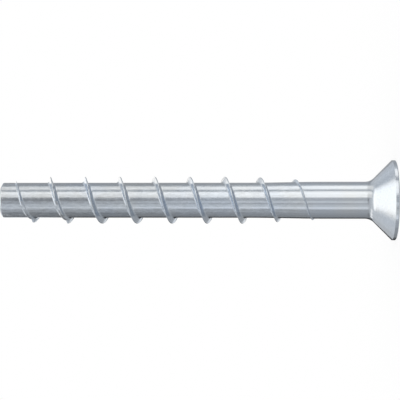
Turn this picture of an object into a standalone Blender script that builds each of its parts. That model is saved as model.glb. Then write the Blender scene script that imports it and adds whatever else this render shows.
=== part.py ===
"""Countersunk concrete screw, standing on its head with the tip up.

One piece of steel wire: the head is upset, the six-lobed recess is pressed into it, and the
coarse cutting thread is rolled onto the core. Metres, +Z up along the axis, and the flat face
of the head on z = 0. Seen from -Y, the thread crosses the front as on any right-hand screw.
"""
import math

import bmesh
import bpy
from mathutils import Vector

MM = 0.001

# Overall length, from the flat face of the head to the end of the tip
LENGTH = 100.0 * MM

# Head: a right-angled cone under a narrow cylindrical rim
HEAD_DIAMETER = 20.2 * MM
HEAD_ANGLE = math.radians(90.0)
RIM_HEIGHT = 0.9 * MM
RIM_ROUNDING = 0.25 * MM
NECK_RADIUS = 3.2 * MM

# Shank and core: the thread is rolled out of the core, so the plain shank is a little thicker
SHANK_DIAMETER = 9.35 * MM
CORE_DIAMETER = 8.9 * MM

# Tip: a flat end with a narrow chamfer
TIP_DIAMETER = 7.6 * MM
TIP_CHAMFER_HEIGHT = 0.45 * MM

# Thread: one coarse ridge, wound round the core with wide plain ground between its turns
THREAD_DIAMETER = 11.9 * MM
THREAD_PITCH = 8.92 * MM
THREAD_FLANK_ANGLE = math.radians(40.0)
CREST_WIDTH = 0.16 * MM
ROOT_FILLET = 0.3 * MM
THREADED_LENGTH = 81.5 * MM
THREAD_START_GAP = 1.7 * MM
THREAD_START_ANGLE = math.radians(72.0)
RUN_IN_TURNS = 1.2
RUN_IN_POWER = 2.0
RUN_OUT_TURNS = 2.05

# Cutting notches: steps in the ridge that leave teeth on its first turns, to saw the drilled
# hole's wall. They are measured along the helix from where the thread starts.
NOTCHES = 4
FIRST_NOTCH = math.radians(162.0)
NOTCH_SPACING = math.radians(180.0)
NOTCH_SPAN = math.radians(90.0)
NOTCH_DEPTH = 0.8 * MM

# Driver recess: six lobes, its floor pressed to a shallow cone
LOBES = 6
RECESS_TIP_DIAMETER = 8.95 * MM
RECESS_ROOT_DIAMETER = 6.45 * MM
LOBE_TIP_RADIUS = 0.6 * MM
RECESS_DEPTH = 5.0 * MM
RECESS_FLOOR_CONE = 0.7 * MM

# Facets round the axis, on the small roundings and on the recess
SIDES = 48
ROUNDING_STEPS = 3
NECK_STEPS = 6
LOBE_ARC_STEPS = 5

# A row of points on the wall of a notch still has the ridge's full height
WALL_SLACK = math.radians(0.1)

MERGE_DISTANCE = 0.001 * MM
SHARP_ANGLE = math.radians(32.0)

# Levels along the axis that follow from the sizes above
SHANK_RADIUS = SHANK_DIAMETER / 2
CORE_RADIUS = CORE_DIAMETER / 2
THREAD_RADIUS = THREAD_DIAMETER / 2
THREAD_START = LENGTH - THREAD_START_GAP
THREAD_END = LENGTH - THREADED_LENGTH
THREAD_TURNS = (THREAD_START - THREAD_END) / THREAD_PITCH
CHAMFER_START = LENGTH - TIP_CHAMFER_HEIGHT
TAPER_END = THREAD_END + RUN_OUT_TURNS * THREAD_PITCH


def clamp(value, low, high):
    """The value, held between low and high."""
    return max(low, min(high, value))


def smooth_step(share):
    """A share from 0 to 1, eased at both ends."""
    share = clamp(share, 0.0, 1.0)
    return share * share * (3.0 - 2.0 * share)


def body_radius(z):
    """Radius of the plain body: the shank, and the core that the rolled stretch narrows to."""
    share = smooth_step((z - THREAD_END) / (TAPER_END - THREAD_END))
    return SHANK_RADIUS + share * (CORE_RADIUS - SHANK_RADIUS)


def ridge_height(turn, z):
    """Height of the whole ridge over the body, counted in turns from where the thread starts."""
    if turn <= 0.0 or turn >= THREAD_TURNS:
        return 0.0
    run_in = 1.0 - (1.0 - clamp(turn / RUN_IN_TURNS, 0.0, 1.0)) ** RUN_IN_POWER
    run_out = clamp((THREAD_TURNS - turn) / RUN_OUT_TURNS, 0.0, 1.0)
    crest_radius = SHANK_RADIUS + run_out * (THREAD_RADIUS - SHANK_RADIUS)
    return run_in * max(0.0, crest_radius - body_radius(z))


def is_notched(turn):
    """True between the two walls of a cutting notch."""
    passed = 2.0 * math.pi * turn - FIRST_NOTCH
    within = passed % NOTCH_SPACING
    return 0.0 < passed < NOTCHES * NOTCH_SPACING and WALL_SLACK < within < NOTCH_SPAN - WALL_SLACK


def ridge_section(turn, z):
    """Cross-section of one pitch as pairs of offset along the axis and height over the body."""
    full = ridge_height(turn, z)
    top = max(0.0, full - NOTCH_DEPTH) if is_notched(turn) else full
    slope = math.tan(THREAD_FLANK_ANGLE / 2)
    crest = CREST_WIDTH / 2 + (full - top) * slope
    foot = CREST_WIDTH / 2 + full * slope
    # The root fillet is one slanting facet, which fades out with the ridge
    fillet = ROOT_FILLET * full / (THREAD_RADIUS - CORE_RADIUS)
    fillet_top = min(fillet, top)
    side = [
        (THREAD_PITCH / 2, 0.0),
        (foot + fillet, 0.0),
        (foot - fillet_top * slope, fillet_top),
        (crest, top),
    ]
    return [(-offset, height) for offset, height in side] + side[::-1]


def thread_strip(bm, low, high):
    """The threaded stretch between two levels: one strip of faces wound along the helix.

    The upper edge of each turn lies on the lower edge of the next. Rows that would pass a
    level are held on it, which closes the strip on a plain ring at both ends.
    """
    step_angle = 2.0 * math.pi / SIDES
    half_pitch = THREAD_PITCH / 2

    def steps_to(level):
        angle = THREAD_START_ANGLE + 2.0 * math.pi * (level - THREAD_START) / THREAD_PITCH
        return angle / step_angle

    first = math.floor(steps_to(low - half_pitch))
    last = math.ceil(steps_to(high + half_pitch))
    rows = []
    for step in range(first, last + 1):
        angle = step * step_angle
        turn = (THREAD_START_ANGLE - angle) / (2.0 * math.pi)
        centre = THREAD_START - turn * THREAD_PITCH
        row = []
        for offset, height in ridge_section(turn, centre):
            z = clamp(centre + offset, low, high)
            radius = body_radius(z) + height
            row.append(bm.verts.new((radius * math.cos(angle), radius * math.sin(angle), z)))
        rows.append(row)
    for row, next_row in zip(rows, rows[1:]):
        for index in range(len(row) - 1):
            bm.faces.new((row[index], next_row[index], next_row[index + 1], row[index + 1]))


def turned_skin(bm, profile):
    """Spins a profile of radius and height round the axis."""
    verts = [bm.verts.new((radius, 0.0, z)) for radius, z in profile]
    edges = [bm.edges.new(pair) for pair in zip(verts, verts[1:])]
    bmesh.ops.spin(bm, geom=verts + edges, cent=(0, 0, 0), axis=(0, 0, 1), angle=2.0 * math.pi,
                   steps=SIDES)


def arc(centre, radius, start, end, steps):
    """Points on an arc as pairs, from one angle to another."""
    points = []
    for step in range(steps + 1):
        angle = start + (end - start) * step / steps
        points.append((centre[0] + radius * math.cos(angle), centre[1] + radius * math.sin(angle)))
    return points


def head_profile(top):
    """Outline of the head and shank from the edge of the flat face up to a level."""
    half_angle = HEAD_ANGLE / 2
    rim_radius = HEAD_DIAMETER / 2
    quarter = math.pi / 2
    rim = arc((rim_radius - RIM_ROUNDING, RIM_ROUNDING), RIM_ROUNDING, -quarter, 0.0,
              ROUNDING_STEPS)
    cone_foot = RIM_HEIGHT + (rim_radius - SHANK_RADIUS) / math.tan(half_angle)
    neck_centre = (SHANK_RADIUS + NECK_RADIUS, cone_foot + NECK_RADIUS * math.tan(half_angle / 2))
    neck = arc(neck_centre, NECK_RADIUS, math.pi + half_angle, math.pi, NECK_STEPS)
    return rim + [(rim_radius, RIM_HEIGHT)] + neck + [(SHANK_RADIUS, top)]


def recess_outline():
    """The six-lobed outline: tip arcs joined by hollow arcs that run into them smoothly."""
    half_lobe = math.pi / LOBES
    tip_centre = RECESS_TIP_DIAMETER / 2 - LOBE_TIP_RADIUS
    root = RECESS_ROOT_DIAMETER / 2
    across = tip_centre * math.cos(half_lobe)
    hollow_radius = ((LOBE_TIP_RADIUS ** 2 - tip_centre ** 2 - root ** 2 + 2.0 * root * across)
                     / (2.0 * (root - across - LOBE_TIP_RADIUS)))
    hollow_centre = root + hollow_radius
    reach = hollow_centre * math.sin(half_lobe)
    swing = math.atan2(reach, hollow_centre * math.cos(half_lobe) - tip_centre)
    points = []
    for lobe in range(LOBES):
        lobe_angle = 2.0 * half_lobe * lobe
        tip = (tip_centre * math.cos(lobe_angle), tip_centre * math.sin(lobe_angle))
        points += arc(tip, LOBE_TIP_RADIUS, lobe_angle - swing, lobe_angle + swing,
                      LOBE_ARC_STEPS)
        middle = lobe_angle + half_lobe
        hollow = (hollow_centre * math.cos(middle), hollow_centre * math.sin(middle))
        opening = swing - half_lobe
        points += arc(hollow, hollow_radius, middle + math.pi + opening,
                      middle + math.pi - opening, LOBE_ARC_STEPS)[1:-1]
    return points


def recess_cutter():
    """The driver recess as a solid to cut away, from below the face up to its conical floor."""
    bm = bmesh.new()
    below = -RECESS_DEPTH / 4
    mouth = bm.faces.new([bm.verts.new((x, y, below)) for x, y in recess_outline()])
    extruded = bmesh.ops.extrude_face_region(bm, geom=[mouth], use_keep_orig=True)["geom"]
    raised = [item for item in extruded if isinstance(item, bmesh.types.BMVert)]
    bmesh.ops.translate(bm, verts=raised, vec=Vector((0, 0, RECESS_DEPTH - below)))
    floor = [item for item in extruded if isinstance(item, bmesh.types.BMFace)]
    centre = bmesh.ops.poke(bm, faces=floor)["verts"]
    bmesh.ops.translate(bm, verts=centre, vec=Vector((0, 0, RECESS_FLOOR_CONE)))
    bmesh.ops.recalc_face_normals(bm, faces=bm.faces)
    mesh = bpy.data.meshes.new("recess_cutter")
    bm.to_mesh(mesh)
    bm.free()
    cutter = bpy.data.objects.new("recess_cutter", mesh)
    bpy.context.scene.collection.objects.link(cutter)
    cutter.hide_render = True
    cutter.display_type = "WIRE"
    return cutter


def screw_body():
    """Head, shank, thread and tip as one closed skin, without the recess."""
    bm = bmesh.new()
    tip_margin = (THREAD_START_GAP - TIP_CHAMFER_HEIGHT) / 2
    low = THREAD_END - tip_margin
    high = CHAMFER_START - tip_margin
    turned_skin(bm, head_profile(low))
    thread_strip(bm, low, high)
    turned_skin(bm, [(CORE_RADIUS, high), (CORE_RADIUS, CHAMFER_START), (TIP_DIAMETER / 2, LENGTH)])
    bmesh.ops.remove_doubles(bm, verts=bm.verts, dist=MERGE_DISTANCE)
    bmesh.ops.holes_fill(bm, edges=[edge for edge in bm.edges if edge.is_boundary], sides=SIDES)
    bmesh.ops.recalc_face_normals(bm, faces=bm.faces)
    mesh = bpy.data.meshes.new("concrete_screw")
    bm.to_mesh(mesh)
    bm.free()
    body = bpy.data.objects.new("concrete_screw", mesh)
    bpy.context.scene.collection.objects.link(body)
    return body


def cut_recess(body, cutter):
    """Cuts the recess out of the head for good, then shades the round faces smooth."""
    cut = body.modifiers.new("driver_recess", "BOOLEAN")
    cut.operation = "DIFFERENCE"
    cut.solver = "EXACT"
    cut.object = cutter
    depsgraph = bpy.context.evaluated_depsgraph_get()
    mesh = bpy.data.meshes.new_from_object(body.evaluated_get(depsgraph))
    body.modifiers.remove(cut)
    body.data = mesh
    mesh.shade_smooth()
    mesh.set_sharp_from_angle(angle=SHARP_ANGLE)


def zinc_plated_steel():
    """Bright zinc over steel, with the cool tint of its clear passivation."""
    material = bpy.data.materials.new("zinc_plated_steel")
    material.use_nodes = True
    shader = material.node_tree.nodes["Principled BSDF"]
    shader.inputs["Base Color"].default_value = (0.58, 0.61, 0.67, 1.0)
    shader.inputs["Metallic"].default_value = 1.0
    shader.inputs["Roughness"].default_value = 0.28
    return material


for old_object in list(bpy.data.objects):
    bpy.data.objects.remove(old_object, do_unlink=True)

screw = screw_body()
cut_recess(screw, recess_cutter())
screw.data.materials.clear()
screw.data.materials.append(zinc_plated_steel())
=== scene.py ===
import math

import bpy
from mathutils import Matrix, Vector


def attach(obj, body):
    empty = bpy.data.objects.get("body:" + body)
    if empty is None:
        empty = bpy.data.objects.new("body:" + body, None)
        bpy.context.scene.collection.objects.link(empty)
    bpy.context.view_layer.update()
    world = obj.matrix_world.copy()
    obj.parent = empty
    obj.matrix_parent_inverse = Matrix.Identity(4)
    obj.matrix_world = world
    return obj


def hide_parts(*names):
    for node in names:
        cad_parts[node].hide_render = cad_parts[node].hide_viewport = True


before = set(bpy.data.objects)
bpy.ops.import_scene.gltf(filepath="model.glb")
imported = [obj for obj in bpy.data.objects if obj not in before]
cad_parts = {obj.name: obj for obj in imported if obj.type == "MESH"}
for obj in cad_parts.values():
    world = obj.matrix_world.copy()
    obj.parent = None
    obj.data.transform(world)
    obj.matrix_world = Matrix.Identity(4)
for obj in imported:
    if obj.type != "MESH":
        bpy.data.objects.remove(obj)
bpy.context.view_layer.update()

# Concrete screw, standing on its head. One piece of carbon steel wire: the head is upset with
# its six-lobed recess, the coarse cutting ridge is rolled out of the core, teeth are nicked into
# the first turns, and the whole is hardened, zinc plated and passivated clear to pale blue.
MM = 0.001
LENGTH = 100.0 * MM
HEAD_RADIUS = 10.1 * MM
RIM_HEIGHT = 0.9 * MM
RIM_ROUNDING = 0.25 * MM
HEAD_HALF_ANGLE = math.radians(45.0)
NECK_RADIUS = 3.2 * MM
SHANK_RADIUS = 4.675 * MM
CORE_RADIUS = 4.45 * MM
TIP_RADIUS = 3.8 * MM
TIP_CHAMFER_HEIGHT = 0.45 * MM
TIP_EDGE_ROUNDING = 0.08 * MM
TIP_DISH = 0.02 * MM
THREAD_START = 98.3 * MM
THREAD_END = 18.5 * MM
THREAD_PITCH = 8.92 * MM
THREAD_START_ANGLE = math.radians(72.0)
RUN_OUT_TURNS = 2.05
LOBES = 6
RECESS_TIP_RADIUS = 4.475 * MM
RECESS_ROOT_RADIUS = 3.225 * MM
LOBE_TIP_RADIUS = 0.6 * MM
RECESS_DEPTH = 5.0 * MM
RECESS_FLOOR_CONE = 0.7 * MM
RECESS_MOUTH_CHAMFER = 0.15 * MM

# Points round the axis, and columns from the middle of the crest over its land, its rounding, the
# flank, the fillet and the plain ground. A notch's walls stand between two rows of points.
SIDES = 144
LAND_COLUMN = 1
CREST_COLUMN = 5
FLANK_COLUMN = 8
FILLET_COLUMN = 12
GROUND_COLUMN = 17
FLANK_ANGLE = math.radians(17.5)
NECK_STEPS = 14
ROUNDING_STEPS = 4
WALL_SLACK = 0.25 / SIDES
WELD_DISTANCE = 0.001 * MM
SHARP_ANGLE = math.radians(32.0)

# The strip reaches half way from the ridge's start to the chamfer, and as far past its end
full_turn = 2.0 * math.pi
strip_margin = (LENGTH - TIP_CHAMFER_HEIGHT - THREAD_START) / 2
strip_bottom = THREAD_END - strip_margin
strip_top = THREAD_START + strip_margin
first_step = math.floor(SIDES * (THREAD_START_ANGLE / full_turn
                                 + (strip_bottom - THREAD_START) / THREAD_PITCH - 0.5))
last_step = math.ceil(SIDES * (THREAD_START_ANGLE / full_turn
                               + (strip_top - THREAD_START) / THREAD_PITCH + 0.5))

# The lobed outline is made of tip arcs and hollow arcs that touch each other
half_lobe = math.pi / LOBES
lobe_centre = RECESS_TIP_RADIUS - LOBE_TIP_RADIUS
lobe_across = lobe_centre * math.cos(half_lobe)
hollow_radius = ((LOBE_TIP_RADIUS ** 2 - lobe_centre ** 2 - RECESS_ROOT_RADIUS ** 2
                  + 2.0 * RECESS_ROOT_RADIUS * lobe_across)
                 / (2.0 * (RECESS_ROOT_RADIUS - lobe_across - LOBE_TIP_RADIUS)))
hollow_centre = RECESS_ROOT_RADIUS + hollow_radius
lobe_swing = math.atan2(hollow_centre * math.sin(half_lobe),
                        hollow_centre * math.cos(half_lobe) - lobe_centre)
lobe_meeting = math.atan2(LOBE_TIP_RADIUS * math.sin(lobe_swing),
                          lobe_centre + LOBE_TIP_RADIUS * math.cos(lobe_swing))

# The turned outline, from the middle of the recess's floor round the head to the end of the tip.
# A point holds a radius, the share of the lobed outline that is added to it, and a height.
outline = [
    (0.0, 0.0, RECESS_DEPTH + RECESS_FLOOR_CONE),
    (0.0, 0.5, RECESS_DEPTH + RECESS_FLOOR_CONE / 2),
    (0.0, 1.0, RECESS_DEPTH),
    (0.0, 1.0, RECESS_DEPTH / 2),
    (0.0, 1.0, RECESS_MOUTH_CHAMFER),
    (RECESS_MOUTH_CHAMFER, 1.0, 0.0),
]
for step in range(ROUNDING_STEPS + 1):
    bend = math.pi / 2 * step / ROUNDING_STEPS
    outline.append((HEAD_RADIUS - RIM_ROUNDING + RIM_ROUNDING * math.sin(bend), 0.0,
                    RIM_ROUNDING - RIM_ROUNDING * math.cos(bend)))
outline.append((HEAD_RADIUS, 0.0, RIM_HEIGHT))
cone_end = RIM_HEIGHT + (HEAD_RADIUS - SHANK_RADIUS) / math.tan(HEAD_HALF_ANGLE)
neck_height = cone_end + NECK_RADIUS * math.tan(HEAD_HALF_ANGLE / 2)
for step in range(NECK_STEPS + 1):
    bend = HEAD_HALF_ANGLE * (1.0 - step / NECK_STEPS)
    outline.append((SHANK_RADIUS + NECK_RADIUS * (1.0 - math.cos(bend)), 0.0,
                    neck_height - NECK_RADIUS * math.sin(bend)))
outline += [
    (SHANK_RADIUS, 0.0, strip_bottom),
    (CORE_RADIUS, 0.0, strip_top),
    (CORE_RADIUS, 0.0, LENGTH - TIP_CHAMFER_HEIGHT - TIP_EDGE_ROUNDING),
    (CORE_RADIUS - TIP_EDGE_ROUNDING, 0.0, LENGTH - TIP_CHAMFER_HEIGHT + TIP_EDGE_ROUNDING / 2),
    (TIP_RADIUS + TIP_EDGE_ROUNDING, 0.0, LENGTH - TIP_EDGE_ROUNDING / 2),
    (TIP_RADIUS - TIP_EDGE_ROUNDING, 0.0, LENGTH),
    (0.0, 0.0, LENGTH - TIP_DISH),
]
outline_mesh = bpy.data.meshes.new("turned_outline")
outline_mesh.from_pydata(outline, [(i, i + 1) for i in range(len(outline) - 1)], [])

skin = bpy.data.node_groups.new("rolled_screw_skin", "GeometryNodeTree")
skin.interface.new_socket(name="Outline", in_out="INPUT", socket_type="NodeSocketGeometry")
skin.interface.new_socket(name="Screw", in_out="OUTPUT", socket_type="NodeSocketGeometry")
skin_sizes = {
    "Core Radius": CORE_RADIUS,
    "Shank Radius": SHANK_RADIUS,
    "Thread Radius": 5.95 * MM,
    "Pitch": THREAD_PITCH,
    "Start Height": THREAD_START,
    "End Height": THREAD_END,
    "Start Angle": THREAD_START_ANGLE,
    "Flank Slope": math.tan(FLANK_ANGLE),
    "Half Land": 0.02 * MM,
    "Crest Radius": 0.12 * MM,
    "Fillet Radius": 0.43 * MM,
    "Run In Turns": 1.2,
    "Run Out Turns": RUN_OUT_TURNS,
    "Last Height": 0.22 * MM,
    "Last Fade Turns": 0.12,
    "First Notch": 162.0 / 360.0,
    "Notch Spacing": 0.5,
    "Notch Span": 90.0 / 360.0,
    "Notches": 4.0,
    "Notch Depth": 0.8 * MM,
    "Strip Bottom": strip_bottom,
    "Strip Top": strip_top,
    "Lobe Radius": LOBE_TIP_RADIUS,
    "Lobe Centre": lobe_centre,
    "Hollow Radius": hollow_radius,
    "Hollow Centre": hollow_centre,
}
for size_name in skin_sizes:
    skin.interface.new_socket(name=size_name, in_out="INPUT", socket_type="NodeSocketFloat")
skin.interface.new_socket(name="Finish", in_out="INPUT", socket_type="NodeSocketMaterial")
MATH, RANGE = "ShaderNodeMath", "ShaderNodeMapRange"
SUM, MINUS, TIMES, OVER = ({"operation": name} for name in
                           ("ADD", "SUBTRACT", "MULTIPLY", "DIVIDE"))
SINE, COSINE, LARGER, ABSOLUTE = ({"operation": name} for name in
                                  ("SINE", "COSINE", "MAXIMUM", "ABSOLUTE"))
UNDER, ROOT, REMAINDER = ({"operation": name} for name in
                          ("LESS_THAN", "SQRT", "FLOORED_MODULO"))


def add_node(tree, kind, settings, inputs):
    """Adds a node. An input takes a value, an output, or a node whose first output is meant."""
    node = tree.nodes.new(kind)
    for name, value in settings.items():
        setattr(node, name, value)
    for socket, value in inputs.items():
        if isinstance(value, bpy.types.Node):
            value = value.outputs[0]
        if isinstance(value, bpy.types.NodeSocket):
            tree.links.new(value, node.inputs[socket])
        else:
            node.inputs[socket].default_value = value
    return node


size = add_node(skin, "NodeGroupInput", {}, {}).outputs
index = add_node(skin, "GeometryNodeInputIndex", {}, {})

# The threaded stretch is one strip wound along the helix, whose upper edge meets the next turn's
# lower edge. A row of it crosses one pitch: ground, fillet, flank, crest and down again.
columns = 2 * GROUND_COLUMN + 1
strip_row = add_node(skin, MATH, {"operation": "FLOOR"},
                     {0: add_node(skin, MATH, OVER, {0: index, 1: columns})})
strip_step = add_node(skin, MATH, SUM, {0: strip_row, 1: first_step})
revolution = add_node(skin, MATH, OVER, {0: strip_step, 1: SIDES})
strip_angle = add_node(skin, MATH, TIMES, {0: revolution, 1: full_turn})
start_turn = add_node(skin, MATH, OVER, {0: size["Start Angle"], 1: full_turn})
turn = add_node(skin, MATH, MINUS, {0: start_turn, 1: revolution})
climb = add_node(skin, MATH, TIMES, {0: turn, 1: size["Pitch"]})
centre = add_node(skin, MATH, MINUS, {0: size["Start Height"], 1: climb})
column = add_node(skin, MATH, REMAINDER, {0: index, 1: columns})
from_crest = add_node(skin, MATH, MINUS, {0: column, 1: GROUND_COLUMN})
side = add_node(skin, MATH, {"operation": "SIGN"}, {0: from_crest})
place = add_node(skin, MATH, ABSOLUTE, {0: from_crest})

# The ridge rises over its first turns. Its crest sinks close to the shank over the last ones, and
# the height that is left fades in a short run.
run_in_left = add_node(skin, RANGE, {}, {"Value": turn, "From Min": 0.0,
                                         "From Max": size["Run In Turns"], "To Min": 1.0,
                                         "To Max": 0.0})
run_in_lack = add_node(skin, MATH, TIMES, {0: run_in_left, 1: run_in_left})
run_in = add_node(skin, MATH, MINUS, {0: 1.0, 1: run_in_lack})
height_span = add_node(skin, MATH, MINUS, {0: size["Start Height"], 1: size["End Height"]})
turns = add_node(skin, MATH, OVER, {0: height_span, 1: size["Pitch"]})
run_out_start = add_node(skin, MATH, MINUS, {0: turns, 1: size["Run Out Turns"]})
last_radius = add_node(skin, MATH, SUM, {0: size["Shank Radius"], 1: size["Last Height"]})
crest_radius = add_node(skin, RANGE, {}, {"Value": turn, "From Min": run_out_start,
                                          "From Max": turns, "To Min": size["Thread Radius"],
                                          "To Max": last_radius})
fade_start = add_node(skin, MATH, MINUS, {0: turns, 1: size["Last Fade Turns"]})
last_fade = add_node(skin, RANGE, {}, {"Value": turn, "From Min": fade_start,
                                       "From Max": turns, "To Min": 1.0, "To Max": 0.0})
run_out_height = add_node(skin, MATH, TIMES, {0: size["Run Out Turns"], 1: size["Pitch"]})
taper_end = add_node(skin, MATH, SUM, {0: size["End Height"], 1: run_out_height})
body_radius = add_node(skin, RANGE, {"interpolation_type": "SMOOTHSTEP"},
                       {"Value": centre, "From Min": size["End Height"], "From Max": taper_end,
                        "To Min": size["Shank Radius"], "To Max": size["Core Radius"]})
crest_rise = add_node(skin, MATH, MINUS, {0: crest_radius, 1: body_radius})
crest_over = add_node(skin, MATH, LARGER, {0: crest_rise, 1: 0.0})
faded = add_node(skin, MATH, TIMES, {0: crest_over, 1: last_fade})
full = add_node(skin, MATH, TIMES, {0: faded, 1: run_in})

# Cutting notches lower the top of the ridge between two steep walls
past_first = add_node(skin, MATH, MINUS, {0: turn, 1: size["First Notch"]})
in_spacing = add_node(skin, MATH, REMAINDER, {0: past_first, 1: size["Notch Spacing"]})
half_span = add_node(skin, MATH, TIMES, {0: size["Notch Span"], 1: 0.5})
from_middle = add_node(skin, MATH, ABSOLUTE,
                       {0: add_node(skin, MATH, MINUS, {0: in_spacing, 1: half_span})})
wall_slack = add_node(skin, MATH, MINUS, {0: half_span, 1: WALL_SLACK})
in_span = add_node(skin, MATH, UNDER, {0: from_middle, 1: wall_slack})
half_run = add_node(skin, MATH, TIMES,
                    {0: add_node(skin, MATH, TIMES, {0: size["Notches"], 1: 0.5}),
                     1: size["Notch Spacing"]})
from_run_middle = add_node(skin, MATH, ABSOLUTE,
                           {0: add_node(skin, MATH, MINUS, {0: past_first, 1: half_run})})
in_run = add_node(skin, MATH, UNDER, {0: from_run_middle, 1: half_run})
notched = add_node(skin, MATH, TIMES, {0: in_span, 1: in_run})
lowered = add_node(skin, MATH, TIMES, {0: notched, 1: size["Notch Depth"]})

# Section of the ridge: a narrow land, a rounding, a straight flank and a round fillet. Both
# roundings fade with the ridge, and a notch only widens the land.
FLANK_TURN = math.pi / 2 - FLANK_ANGLE
full_height = add_node(skin, MATH, MINUS, {0: size["Thread Radius"], 1: size["Core Radius"]})
fillet_share = add_node(skin, MATH, OVER, {0: size["Fillet Radius"], 1: full_height})
fillet = add_node(skin, MATH, TIMES, {0: full, 1: fillet_share})
fillet_top = add_node(skin, MATH, TIMES, {0: fillet, 1: 1.0 - math.cos(FLANK_TURN)})
crest_share = add_node(skin, MATH, OVER, {0: size["Crest Radius"], 1: full_height})
rounding = add_node(skin, MATH, TIMES, {0: full, 1: crest_share})
round_run = add_node(skin, MATH, TIMES, {0: rounding, 1: math.sin(FLANK_TURN)})
round_drop = add_node(skin, MATH, TIMES, {0: rounding, 1: 1.0 - math.cos(FLANK_TURN)})
lowered_top = add_node(skin, MATH, MINUS, {0: full, 1: lowered})
lowest_top = add_node(skin, MATH, SUM, {0: fillet_top, 1: round_drop})
top = add_node(skin, MATH, LARGER, {0: lowered_top, 1: lowest_top})
lost_height = add_node(skin, MATH, MINUS, {0: full, 1: top})
land_growth = add_node(skin, MATH, TIMES, {0: lost_height, 1: size["Flank Slope"]})
land = add_node(skin, MATH, SUM, {0: land_growth, 1: size["Half Land"]})
crest_width = add_node(skin, MATH, SUM, {0: land, 1: round_run})
crest_foot = add_node(skin, MATH, MINUS, {0: top, 1: round_drop})
crest_foot_run = add_node(skin, MATH, TIMES, {0: crest_foot, 1: size["Flank Slope"]})
foot = add_node(skin, MATH, SUM, {0: crest_width, 1: crest_foot_run})
fillet_inner = add_node(skin, MATH, TIMES,
                        {0: fillet, 1: math.tan(FLANK_TURN / 2) - math.sin(FLANK_TURN)})
flank_end = add_node(skin, MATH, SUM, {0: foot, 1: fillet_inner})
fillet_outer = add_node(skin, MATH, TIMES, {0: fillet, 1: math.tan(FLANK_TURN / 2)})
ground_start = add_node(skin, MATH, SUM, {0: foot, 1: fillet_outer})
half_pitch = add_node(skin, MATH, TIMES, {0: size["Pitch"], 1: 0.5})
ground = add_node(skin, MATH, MINUS, {0: half_pitch, 1: ground_start})
crest_bend = add_node(skin, RANGE, {}, {"Value": place, "From Min": LAND_COLUMN,
                                        "From Max": CREST_COLUMN, "To Min": 0.0,
                                        "To Max": FLANK_TURN})
fillet_bend = add_node(skin, RANGE, {}, {"Value": place, "From Min": FLANK_COLUMN,
                                         "From Max": FILLET_COLUMN, "To Min": FLANK_TURN,
                                         "To Max": 0.0})
land_part = add_node(skin, RANGE, {}, {"Value": place, "From Min": 0.0,
                                       "From Max": LAND_COLUMN, "To Min": 0.0, "To Max": land})
round_part = add_node(skin, MATH, TIMES,
                      {0: rounding, 1: add_node(skin, MATH, SINE, {0: crest_bend})})
flank_width = add_node(skin, MATH, MINUS, {0: flank_end, 1: crest_width})
flank_part = add_node(skin, RANGE, {}, {"Value": place, "From Min": CREST_COLUMN,
                                        "From Max": FLANK_COLUMN, "To Min": 0.0,
                                        "To Max": flank_width})
fillet_lack = add_node(skin, MATH, MINUS, {0: math.sin(FLANK_TURN),
                                           1: add_node(skin, MATH, SINE, {0: fillet_bend})})
fillet_part = add_node(skin, MATH, TIMES, {0: fillet, 1: fillet_lack})
ground_part = add_node(skin, RANGE, {}, {"Value": place, "From Min": FILLET_COLUMN,
                                         "From Max": GROUND_COLUMN, "To Min": 0.0,
                                         "To Max": ground})
run = land_part
for part in (round_part, flank_part, fillet_part, ground_part):
    run = add_node(skin, MATH, SUM, {0: run, 1: part})
round_lack = add_node(skin, MATH, MINUS, {0: add_node(skin, MATH, COSINE, {0: crest_bend}),
                                          1: math.cos(FLANK_TURN)})
round_rise = add_node(skin, MATH, TIMES, {0: rounding, 1: round_lack})
flank_height = add_node(skin, MATH, MINUS, {0: crest_foot, 1: fillet_top})
flank_rise = add_node(skin, RANGE, {}, {"Value": place, "From Min": CREST_COLUMN,
                                        "From Max": FLANK_COLUMN, "To Min": flank_height,
                                        "To Max": 0.0})
bend_rise = add_node(skin, MATH, MINUS, {0: 1.0,
                                         1: add_node(skin, MATH, COSINE, {0: fillet_bend})})
fillet_rise = add_node(skin, MATH, TIMES, {0: fillet, 1: bend_rise})
rise = round_rise
for part in (flank_rise, fillet_rise):
    rise = add_node(skin, MATH, SUM, {0: rise, 1: part})
offset = add_node(skin, MATH, TIMES, {0: side, 1: run})
free_height = add_node(skin, MATH, SUM, {0: centre, 1: offset})
strip_height = add_node(skin, "ShaderNodeClamp", {}, {"Value": free_height,
                                                      "Min": size["Strip Bottom"],
                                                      "Max": size["Strip Top"]})
ground_radius = add_node(skin, RANGE, {"interpolation_type": "SMOOTHSTEP"},
                         {"Value": strip_height, "From Min": size["End Height"],
                          "From Max": taper_end, "To Min": size["Shank Radius"],
                          "To Max": size["Core Radius"]})
strip_radius = add_node(skin, MATH, SUM, {0: ground_radius, 1: rise})
strip_x = add_node(skin, MATH, TIMES,
                   {0: strip_radius, 1: add_node(skin, MATH, COSINE, {0: strip_angle})})
strip_y = add_node(skin, MATH, TIMES,
                   {0: strip_radius, 1: add_node(skin, MATH, SINE, {0: strip_angle})})
strip_place = add_node(skin, "ShaderNodeCombineXYZ", {}, {0: strip_x, 1: strip_y,
                                                          2: strip_height})
strip_grid = add_node(skin, "GeometryNodeMeshGrid", {}, {"Vertices X": last_step - first_step + 1,
                                                         "Vertices Y": columns})
strip = add_node(skin, "GeometryNodeSetPosition", {}, {"Geometry": strip_grid,
                                                       "Position": strip_place})

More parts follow.
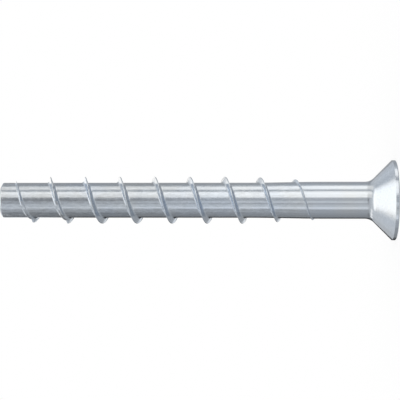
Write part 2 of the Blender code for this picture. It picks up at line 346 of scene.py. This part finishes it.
# Head and tip are the drawn outline turned round the axis, with the lobes added to its radius
point_count = add_node(skin, "GeometryNodeAttributeDomainSize", {}, {"Geometry": size["Outline"]})
turned_row = add_node(skin, MATH, {"operation": "FLOOR"},
                      {0: add_node(skin, MATH, OVER, {0: index, 1: point_count})})
turned_share = add_node(skin, MATH, OVER, {0: turned_row, 1: SIDES})
turned_angle = add_node(skin, MATH, TIMES, {0: turned_share, 1: full_turn})
turned_column = add_node(skin, MATH, REMAINDER, {0: index, 1: point_count})
drawn = add_node(skin, "GeometryNodeSampleIndex", {"data_type": "FLOAT_VECTOR"},
                 {"Geometry": size["Outline"],
                  "Value": add_node(skin, "GeometryNodeInputPosition", {}, {}),
                  "Index": turned_column})
drawn_parts = add_node(skin, "ShaderNodeSeparateXYZ", {}, {0: drawn}).outputs
lobe_angle = add_node(skin, MATH, {"operation": "WRAP"}, {0: turned_angle, 1: half_lobe,
                                                          2: -half_lobe})
off_lobe = add_node(skin, MATH, ABSOLUTE, {0: lobe_angle})
lobe_shapes = []
for angle, distance, radius, outward in (
        (off_lobe, size["Lobe Centre"], size["Lobe Radius"], SUM),
        (add_node(skin, MATH, MINUS, {0: half_lobe, 1: off_lobe}), size["Hollow Centre"],
         size["Hollow Radius"], MINUS)):
    across = add_node(skin, MATH, TIMES,
                      {0: distance, 1: add_node(skin, MATH, SINE, {0: angle})})
    along = add_node(skin, MATH, TIMES,
                     {0: distance, 1: add_node(skin, MATH, COSINE, {0: angle})})
    radius_square = add_node(skin, MATH, TIMES, {0: radius, 1: radius})
    across_square = add_node(skin, MATH, TIMES, {0: across, 1: across})
    reach = add_node(skin, MATH, ROOT,
                     {0: add_node(skin, MATH, MINUS, {0: radius_square, 1: across_square})})
    lobe_shapes.append(add_node(skin, MATH, outward, {0: along, 1: reach}))
near_tip = add_node(skin, MATH, UNDER, {0: off_lobe, 1: lobe_meeting})
lobed_radius = add_node(skin, "GeometryNodeSwitch", {"input_type": "FLOAT"},
                        {"Switch": near_tip, "False": lobe_shapes[1], "True": lobe_shapes[0]})
lobed_part = add_node(skin, MATH, TIMES, {0: drawn_parts[1], 1: lobed_radius})
turned_radius = add_node(skin, MATH, SUM, {0: drawn_parts[0], 1: lobed_part})
turned_x = add_node(skin, MATH, TIMES,
                    {0: turned_radius, 1: add_node(skin, MATH, COSINE, {0: turned_angle})})
turned_y = add_node(skin, MATH, TIMES,
                    {0: turned_radius, 1: add_node(skin, MATH, SINE, {0: turned_angle})})
turned_place = add_node(skin, "ShaderNodeCombineXYZ", {}, {0: turned_x, 1: turned_y,
                                                           2: drawn_parts[2]})
turned_grid = add_node(skin, "GeometryNodeMeshGrid", {}, {"Vertices X": SIDES + 1,
                                                          "Vertices Y": point_count})
turned = add_node(skin, "GeometryNodeSetPosition", {}, {"Geometry": turned_grid,
                                                        "Position": turned_place})

# The turned skin has no faces where the strip lies, and the two are welded into one
middle = add_node(skin, MATH, TIMES,
                  {0: add_node(skin, MATH, SUM, {0: size["Strip Bottom"], 1: size["Strip Top"]}),
                   1: 0.5})
face_place = add_node(skin, "ShaderNodeSeparateXYZ", {},
                      {0: add_node(skin, "GeometryNodeInputPosition", {}, {})}).outputs[2]
off_middle = add_node(skin, MATH, ABSOLUTE,
                      {0: add_node(skin, MATH, MINUS, {0: face_place, 1: middle})})
under_strip = add_node(skin, MATH, UNDER, {0: off_middle, 1: THREAD_PITCH})
ends = add_node(skin, "GeometryNodeDeleteGeometry", {"domain": "FACE"},
                {"Geometry": turned, "Selection": under_strip})
joined = add_node(skin, "GeometryNodeJoinGeometry", {}, {0: strip})
skin.links.new(ends.outputs[0], joined.inputs[0])
welded = add_node(skin, "GeometryNodeMergeByDistance", {}, {"Geometry": joined,
                                                            "Distance": WELD_DISTANCE})
edge_angle = add_node(skin, "GeometryNodeInputMeshEdgeAngle", {}, {})
crisp = add_node(skin, MATH, UNDER, {0: SHARP_ANGLE, 1: edge_angle})
smooth = add_node(skin, "GeometryNodeSetShadeSmooth", {"domain": "EDGE"},
                  {"Geometry": welded, "Selection": crisp, "Shade Smooth": False})
real = add_node(skin, "GeometryNodeRealizeInstances", {}, {"Geometry": smooth})
plated = add_node(skin, "GeometryNodeSetMaterial", {}, {"Geometry": real,
                                                        "Material": size["Finish"]})
add_node(skin, "NodeGroupOutput", {}, {0: plated})


def linear(code):
    """Linear red, green, blue and alpha of an sRGB hex colour."""
    parts = [int(code[i:i + 2], 16) / 255.0 for i in (1, 3, 5)]
    return tuple(p / 12.92 if p <= 0.04045 else ((p + 0.055) / 1.055) ** 2.4
                 for p in parts) + (1.0,)


# Zinc, plated bright on drawn wire, under a clear to pale blue passivation film: satin, with the
# wire's drawing lines along the screw, scuffs that show most where the dies rolled the ridge, and
# turning marks at the tip
ZINC_CLEAR = "#d4dbe2"
ZINC_PALE_BLUE = "#cfdae8"
CLOUD_WIDTH = 9.0 * MM
CLOUD_HEIGHT = 0.012 * MM
DRAWING_LINE_WIDTH = 0.5 * MM
DRAWING_LINE_LENGTH = 60.0 * MM
DRAWING_LINE_DEPTH = 0.007 * MM
TURNING_MARK_WIDTH = 0.45 * MM
TURNING_MARK_DEPTH = 0.014 * MM
TURNING_MARK_STRETCH = 0.03
TURNED_END = 3.5 * MM
TURNED_FULL = 2.1 * MM
SCUFF_WIDTH = 0.5 * MM
SCUFF_LENGTH = 1.6 * MM
SCUFF_DEPTH = 0.012 * MM
BRIGHT_ROUGHNESS = 0.15
SATIN_ROUGHNESS = 0.21
SCUFF_POLISH = -0.02
SCUFF_DULLING = 0.03
SCUFF_SHADE = 0.10
LINE_LOW = 0.25
LINE_HIGH = 0.75
LINE_DARKEST = 0.90
LINE_LIGHTEST = 1.04
NOISE_LOW = 0.3
NOISE_HIGH = 0.7
zinc = bpy.data.materials.new("zinc_plated_steel_blue_passivated")
zinc.use_nodes = True
zinc_tree = zinc.node_tree
zinc_shader = zinc_tree.nodes["Principled BSDF"]
zinc_shader.inputs["Metallic"].default_value = 1.0
NOISE, STRETCH, BUMP = "ShaderNodeTexNoise", "ShaderNodeMapping", "ShaderNodeBump"
surface = add_node(zinc_tree, "ShaderNodeTexCoord", {}, {}).outputs["Object"]
heights = add_node(zinc_tree, "ShaderNodeSeparateXYZ", {}, {0: surface}).outputs

# The passivation film is thicker in clouds, which turns the metal from clear to pale blue
clouds = add_node(zinc_tree, NOISE, {}, {"Vector": surface, "Scale": 1.0 / CLOUD_WIDTH,
                                         "Detail": 2.0, "Roughness": 0.5})
film = add_node(zinc_tree, RANGE, {}, {"Value": clouds, "From Min": NOISE_LOW,
                                       "From Max": NOISE_HIGH})
tint = add_node(zinc_tree, "ShaderNodeMix", {"data_type": "RGBA"},
                {"Factor": film, 6: linear(ZINC_CLEAR), 7: linear(ZINC_PALE_BLUE)})

# Lines, marks and scuffs are real ones drawn some ten times as wide, so that they show at all
along_wire = add_node(zinc_tree, STRETCH, {},
                      {"Vector": surface,
                       "Scale": (1.0, 1.0, DRAWING_LINE_WIDTH / DRAWING_LINE_LENGTH)})
drawn_lines = add_node(zinc_tree, NOISE, {}, {"Vector": along_wire,
                                              "Scale": 1.0 / DRAWING_LINE_WIDTH, "Detail": 3.0,
                                              "Roughness": 0.65})
round_wire = add_node(zinc_tree, STRETCH, {},
                      {"Vector": surface,
                       "Scale": (TURNING_MARK_STRETCH, TURNING_MARK_STRETCH, 1.0)})
turning_marks = add_node(zinc_tree, NOISE, {}, {"Vector": round_wire,
                                                "Scale": 1.0 / TURNING_MARK_WIDTH,
                                                "Detail": 2.0, "Roughness": 0.6})
turned_end = add_node(zinc_tree, RANGE, {}, {"Value": heights[2], "From Min": LENGTH - TURNED_END,
                                             "From Max": LENGTH - TURNED_FULL})
tip_marks = add_node(zinc_tree, MATH, TIMES, {0: turning_marks, 1: turned_end})
scuffed = add_node(zinc_tree, STRETCH, {},
                   {"Vector": surface, "Scale": (1.0, 1.0, SCUFF_WIDTH / SCUFF_LENGTH)})
scuffs = add_node(zinc_tree, NOISE, {}, {"Vector": scuffed, "Scale": 1.0 / SCUFF_WIDTH,
                                         "Detail": 3.0, "Roughness": 0.6})
rolled = add_node(zinc_tree, RANGE, {}, {"Value": heights[2], "From Min": THREAD_END,
                                         "From Max": THREAD_END + THREAD_PITCH})
die_marks = add_node(zinc_tree, MATH, TIMES, {0: scuffs, 1: rolled})

# Drawing lines and scuffs dull the film, and shade it a little. The rolling dies leave the threaded
# stretch more scuffed than the rest.
line_dulling = add_node(zinc_tree, RANGE, {}, {"Value": drawn_lines, "From Min": NOISE_LOW,
                                               "From Max": NOISE_HIGH,
                                               "To Min": BRIGHT_ROUGHNESS,
                                               "To Max": SATIN_ROUGHNESS})
scuff_dulling = add_node(zinc_tree, RANGE, {}, {"Value": scuffs, "From Min": NOISE_LOW,
                                                "From Max": NOISE_HIGH, "To Min": SCUFF_POLISH,
                                                "To Max": SCUFF_DULLING})
roughness = add_node(zinc_tree, MATH, SUM, {0: line_dulling, 1: scuff_dulling})
line_shading = add_node(zinc_tree, RANGE, {}, {"Value": drawn_lines, "From Min": LINE_LOW,
                                               "From Max": LINE_HIGH, "To Min": LINE_DARKEST,
                                               "To Max": LINE_LIGHTEST})
scuff_shading = add_node(zinc_tree, RANGE, {}, {"Value": scuffs, "From Min": NOISE_LOW,
                                                "From Max": NOISE_HIGH, "To Min": -SCUFF_SHADE,
                                                "To Max": SCUFF_SHADE})
die_shading = add_node(zinc_tree, MATH, TIMES, {0: scuff_shading, 1: rolled})
shading = add_node(zinc_tree, MATH, SUM, {0: line_shading, 1: die_shading})
shaded = add_node(zinc_tree, "ShaderNodeMix", {"data_type": "RGBA", "blend_type": "MULTIPLY"},
                  {"Factor": 1.0, 6: tint.outputs[2], 7: shading})

# Each kind of mark has its own depth, and the reliefs are laid over each other
relief = add_node(zinc_tree, BUMP, {}, {"Height": clouds, "Distance": CLOUD_HEIGHT})
for marks, depth in ((drawn_lines, DRAWING_LINE_DEPTH), (tip_marks, TURNING_MARK_DEPTH),
                     (die_marks, SCUFF_DEPTH)):
    relief = add_node(zinc_tree, BUMP, {}, {"Height": marks, "Distance": depth,
                                            "Normal": relief})
zinc_tree.links.new(shaded.outputs[2], zinc_shader.inputs["Base Color"])
zinc_tree.links.new(roughness.outputs[0], zinc_shader.inputs["Roughness"])
zinc_tree.links.new(relief.outputs[0], zinc_shader.inputs["Normal"])

drawing = bpy.data.objects.new("screw_outline", outline_mesh)
bpy.context.scene.collection.objects.link(drawing)
winding = drawing.modifiers.new("rolled_screw_skin", "NODES")
winding.node_group = skin
for socket in skin.interface.items_tree:
    if socket.item_type == "SOCKET" and socket.in_out == "INPUT":
        if socket.name in skin_sizes:
            winding[socket.identifier] = skin_sizes[socket.name]
        elif socket.name == "Finish":
            winding[socket.identifier] = zinc
depsgraph = bpy.context.evaluated_depsgraph_get()
screw_mesh = bpy.data.meshes.new_from_object(drawing.evaluated_get(depsgraph))
bpy.data.objects.remove(drawing)
screw = bpy.data.objects.new("screw", screw_mesh)
bpy.context.scene.collection.objects.link(screw)
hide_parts("concrete_screw")
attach(screw, "root")

# Floor: a white sheet, lit from below through its own thickness, that keeps a faint soft shadow.
# The metal shows the cards round it and not the sheet, as if the screw hung free.
FLOOR_HALF = 3.0
SHEET_GLOW = 0.75
floor_mesh = bpy.data.meshes.new("floor")
floor_mesh.from_pydata([(x, y, 0.0) for x, y in ((-FLOOR_HALF, -FLOOR_HALF),
                                                 (FLOOR_HALF, -FLOOR_HALF),
                                                 (FLOOR_HALF, FLOOR_HALF),
                                                 (-FLOOR_HALF, FLOOR_HALF))], [], [(0, 1, 2, 3)])
sheet = bpy.data.materials.new("white_sheet")
sheet.use_nodes = True
sheet_shader = sheet.node_tree.nodes["Principled BSDF"]
sheet_shader.inputs["Base Color"].default_value = (1.0 - SHEET_GLOW,) * 3 + (1.0,)
sheet_shader.inputs["Roughness"].default_value = 1.0
sheet_shader.inputs["Specular IOR Level"].default_value = 0.0
sheet_shader.inputs["Emission Color"].default_value = linear("#ffffff")
sheet_shader.inputs["Emission Strength"].default_value = SHEET_GLOW
floor_mesh.materials.append(sheet)
floor = bpy.data.objects.new("floor", floor_mesh)
bpy.context.scene.collection.objects.link(floor)
floor.visible_glossy = False

# Studio: grey and white paper cards close the screw in, and soft boxes shine on its upper side.
# They only show in the metal. A card spans bearings, counted from the camera's side toward the
# side that is the picture's top, and heights over the horizon, both in degrees.
WALL_DISTANCE = 2.0
BOARD_DISTANCE = 1.9
STUDIO_CENTRE = 0.05
CARD_STEP = math.radians(6.0)
LAMP_HEIGHT = -0.12
BOX_FALL = 0.45
SHADE_START = 0.05
SHADE_END = 0.42
LAMP_WHITE = "#fffaf3"
CARD_WHITE = "#ffffff"

# A card's last two values are its glow, and the share of it that is left at its upper edge, or at
# the upper and lower edges of a soft box
cards = [
    ("wall_behind_edge", WALL_DISTANCE, -180, -148, -25, 10, 0.02, 1.0),
    ("wall_behind", WALL_DISTANCE, -148, -135, -25, 16, 0.15, 0.8),
    ("wall_behind_left", WALL_DISTANCE, -135, -110, -25, 16, 0.33, 0.68),
    ("wall_left", WALL_DISTANCE, -110, -86, -25, 16, 0.39, 0.62),
    ("left_wall", WALL_DISTANCE, -86, -57, -25, 16, 0.47, 0.9),
    ("left_strip", WALL_DISTANCE, -57, -45, -25, 16, 0.98, 0.8),
    ("left_grey", WALL_DISTANCE, -45, -26, -25, 16, 0.70, 0.9),
    ("left_dim", WALL_DISTANCE, -26, -16, -25, 16, 0.50, 0.8),
    ("front_streak", WALL_DISTANCE, -16, -6, -25, 16, 0.88, 0.47),
    ("front_dark", WALL_DISTANCE, -6, 17, -25, 16, 0.57, 0.5),
    ("key_box", WALL_DISTANCE, 17, 38, -25, 44, 1.48, 0.67),
    ("key_edge_box", WALL_DISTANCE, 38, 57, -25, 44, 1.48, 0.84),
    ("gap", WALL_DISTANCE, 57, 72, -25, 44, 0.52, 1.0),
    ("side_box", WALL_DISTANCE, 72, 102, -25, 44, 1.46, 0.69),
    ("side_grey", WALL_DISTANCE, 102, 116, -25, 16, 0.62, 0.7),
    ("far_wall", WALL_DISTANCE, 116, 180, -25, 14, 0.45, 0.85),
    ("frieze_behind", WALL_DISTANCE, -180, -148, 10, 30, 0.62, 1.0),
    ("frieze_left", WALL_DISTANCE, -148, 17, 16, 30, 0.62, 1.0),
    ("frieze_right", WALL_DISTANCE, 102, 116, 16, 30, 0.62, 1.0),
    ("frieze_far", WALL_DISTANCE, 116, 180, 14, 30, 0.66, 1.0),
    ("ground_front", WALL_DISTANCE, -86, 116, -90, -25, 0.52, 1.0),
    ("ground_left", WALL_DISTANCE, -180, -86, -90, -25, 0.42, 1.0),
    ("ground_right", WALL_DISTANCE, 116, 180, -90, -25, 0.38, 1.0),
    ("awning_left", WALL_DISTANCE, -104, 17, 30, 55, 0.72, 1.0),
    ("awning", WALL_DISTANCE, 17, 102, 44, 55, 0.72, 1.0),
    ("awning_right", WALL_DISTANCE, 102, 112, 30, 55, 0.72, 1.0),
    ("ceiling_start", WALL_DISTANCE, -104, -93, 55, 90, 1.02, 1.0),
    ("ceiling", WALL_DISTANCE, -93, 104, 55, 90, 1.60, 1.0),
    ("ceiling_end", WALL_DISTANCE, 104, 112, 55, 90, 1.10, 1.0),
    ("ceiling_left", WALL_DISTANCE, -180, -104, 30, 90, 0.72, 1.0),
    ("ceiling_right", WALL_DISTANCE, 112, 128, 30, 90, 0.64, 1.0),
    ("ceiling_far", WALL_DISTANCE, 128, 180, 30, 90, 0.74, 1.0),
    ("backdrop", BOARD_DISTANCE, 171, 189, 15, 55, 1.35, 1.0),
    ("backdrop_foot", BOARD_DISTANCE, 164, 196, -30, -13, 0.95, 1.0),
    ("crease_light_low", BOARD_DISTANCE, -132, -112, 15, 23, 1.40, 1.0),
    ("crease_light", BOARD_DISTANCE, -112, -84, 22, 31, 1.40, 1.0),
    ("crease_light_high", BOARD_DISTANCE, -84, -60, 29, 38, 1.40, 1.0),
]
for name, distance, start, end, low, high, glow, edge_share in cards:
    start, end, low, high = (math.radians(angle) for angle in (start, end, low, high))
    across, upward = math.ceil((end - start) / CARD_STEP), math.ceil((high - low) / CARD_STEP)
    points = []
    for row in range(upward + 1):
        height = low + (high - low) * row / upward
        for step in range(across + 1):
            bearing = start + (end - start) * step / across
            points.append((distance * math.cos(height) * math.sin(bearing),
                           -distance * math.cos(height) * math.cos(bearing),
                           STUDIO_CENTRE + distance * math.sin(height)))
    wide = across + 1
    card_mesh = bpy.data.meshes.new(name)
    card_mesh.from_pydata(points, [], [(row * wide + step, row * wide + step + 1,
                                        (row + 1) * wide + step + 1, (row + 1) * wide + step)
                                       for row in range(upward) for step in range(across)])
    card_glow = bpy.data.materials.new(name + "_glow")
    card_glow.use_nodes = True
    card_tree = card_glow.node_tree
    card_tree.nodes.clear()
    place = add_node(card_tree, "ShaderNodeTexCoord", {}, {}).outputs["Object"]
    level = add_node(card_tree, "ShaderNodeSeparateXYZ", {}, {0: place}).outputs[2]
    if name.endswith("box"):
        # A soft box is brightest at the height of its lamp
        off_lamp = add_node(card_tree, MATH, ABSOLUTE,
                            {0: add_node(card_tree, MATH, MINUS, {0: level, 1: LAMP_HEIGHT})})
        strength = add_node(card_tree, RANGE, {"interpolation_type": "SMOOTHSTEP"},
                            {"Value": off_lamp, "From Min": 0.0, "From Max": BOX_FALL,
                             "To Min": glow, "To Max": glow * edge_share})
    else:
        # A card may get less light from one height up to another
        strength = add_node(card_tree, RANGE, {},
                            {"Value": level, "From Min": SHADE_START, "From Max": SHADE_END,
                             "To Min": glow, "To Max": glow * edge_share})
    # What glows brighter than white paper is a lamp, and a little warmer
    tone = LAMP_WHITE if glow > 1.0 else CARD_WHITE
    shine = add_node(card_tree, "ShaderNodeEmission", {}, {"Color": linear(tone),
                                                           "Strength": strength})
    add_node(card_tree, "ShaderNodeOutputMaterial", {}, {"Surface": shine})
    card_mesh.materials.append(card_glow)
    card = bpy.data.objects.new(name, card_mesh)
    bpy.context.scene.collection.objects.link(card)
    card.visible_camera = card.visible_diffuse = card.visible_shadow = False

# World: plain white, which lights the sheet and shows past its edge. The cards hide it from the
# metal.
world = bpy.data.worlds.new("white_room")
bpy.context.scene.world = world
world.use_nodes = True
world.node_tree.nodes["Background"].inputs["Color"].default_value = linear("#ffffff")
world.node_tree.nodes["Background"].inputs["Strength"].default_value = 1.0

# Camera: level with the lower part of the screw, and turned on its side, so that the standing
# screw lies across the picture as in the photograph
CAMERA_PLACE = Vector((0.00006, -0.3073, 0.0362))
CAMERA_TURN = 0.0427
LENS = 108.9
SENSOR = 36.0
NEAREST = 0.01
right = Vector((0.0, math.sin(CAMERA_TURN), -math.cos(CAMERA_TURN)))
up = Vector((1.0, 0.0, 0.0))
back = right.cross(up)
camera_data = bpy.data.cameras.new("camera")
camera_data.sensor_width = SENSOR
camera_data.lens = LENS
camera_data.clip_start = NEAREST
camera = bpy.data.objects.new("camera", camera_data)
bpy.context.scene.collection.objects.link(camera)
camera.matrix_world = Matrix((
    (right.x, up.x, back.x, CAMERA_PLACE.x),
    (right.y, up.y, back.y, CAMERA_PLACE.y),
    (right.z, up.z, back.z, CAMERA_PLACE.z),
    (0.0, 0.0, 0.0, 1.0)))
bpy.context.scene.camera = camera
bpy.context.scene.view_settings.view_transform = "Standard"
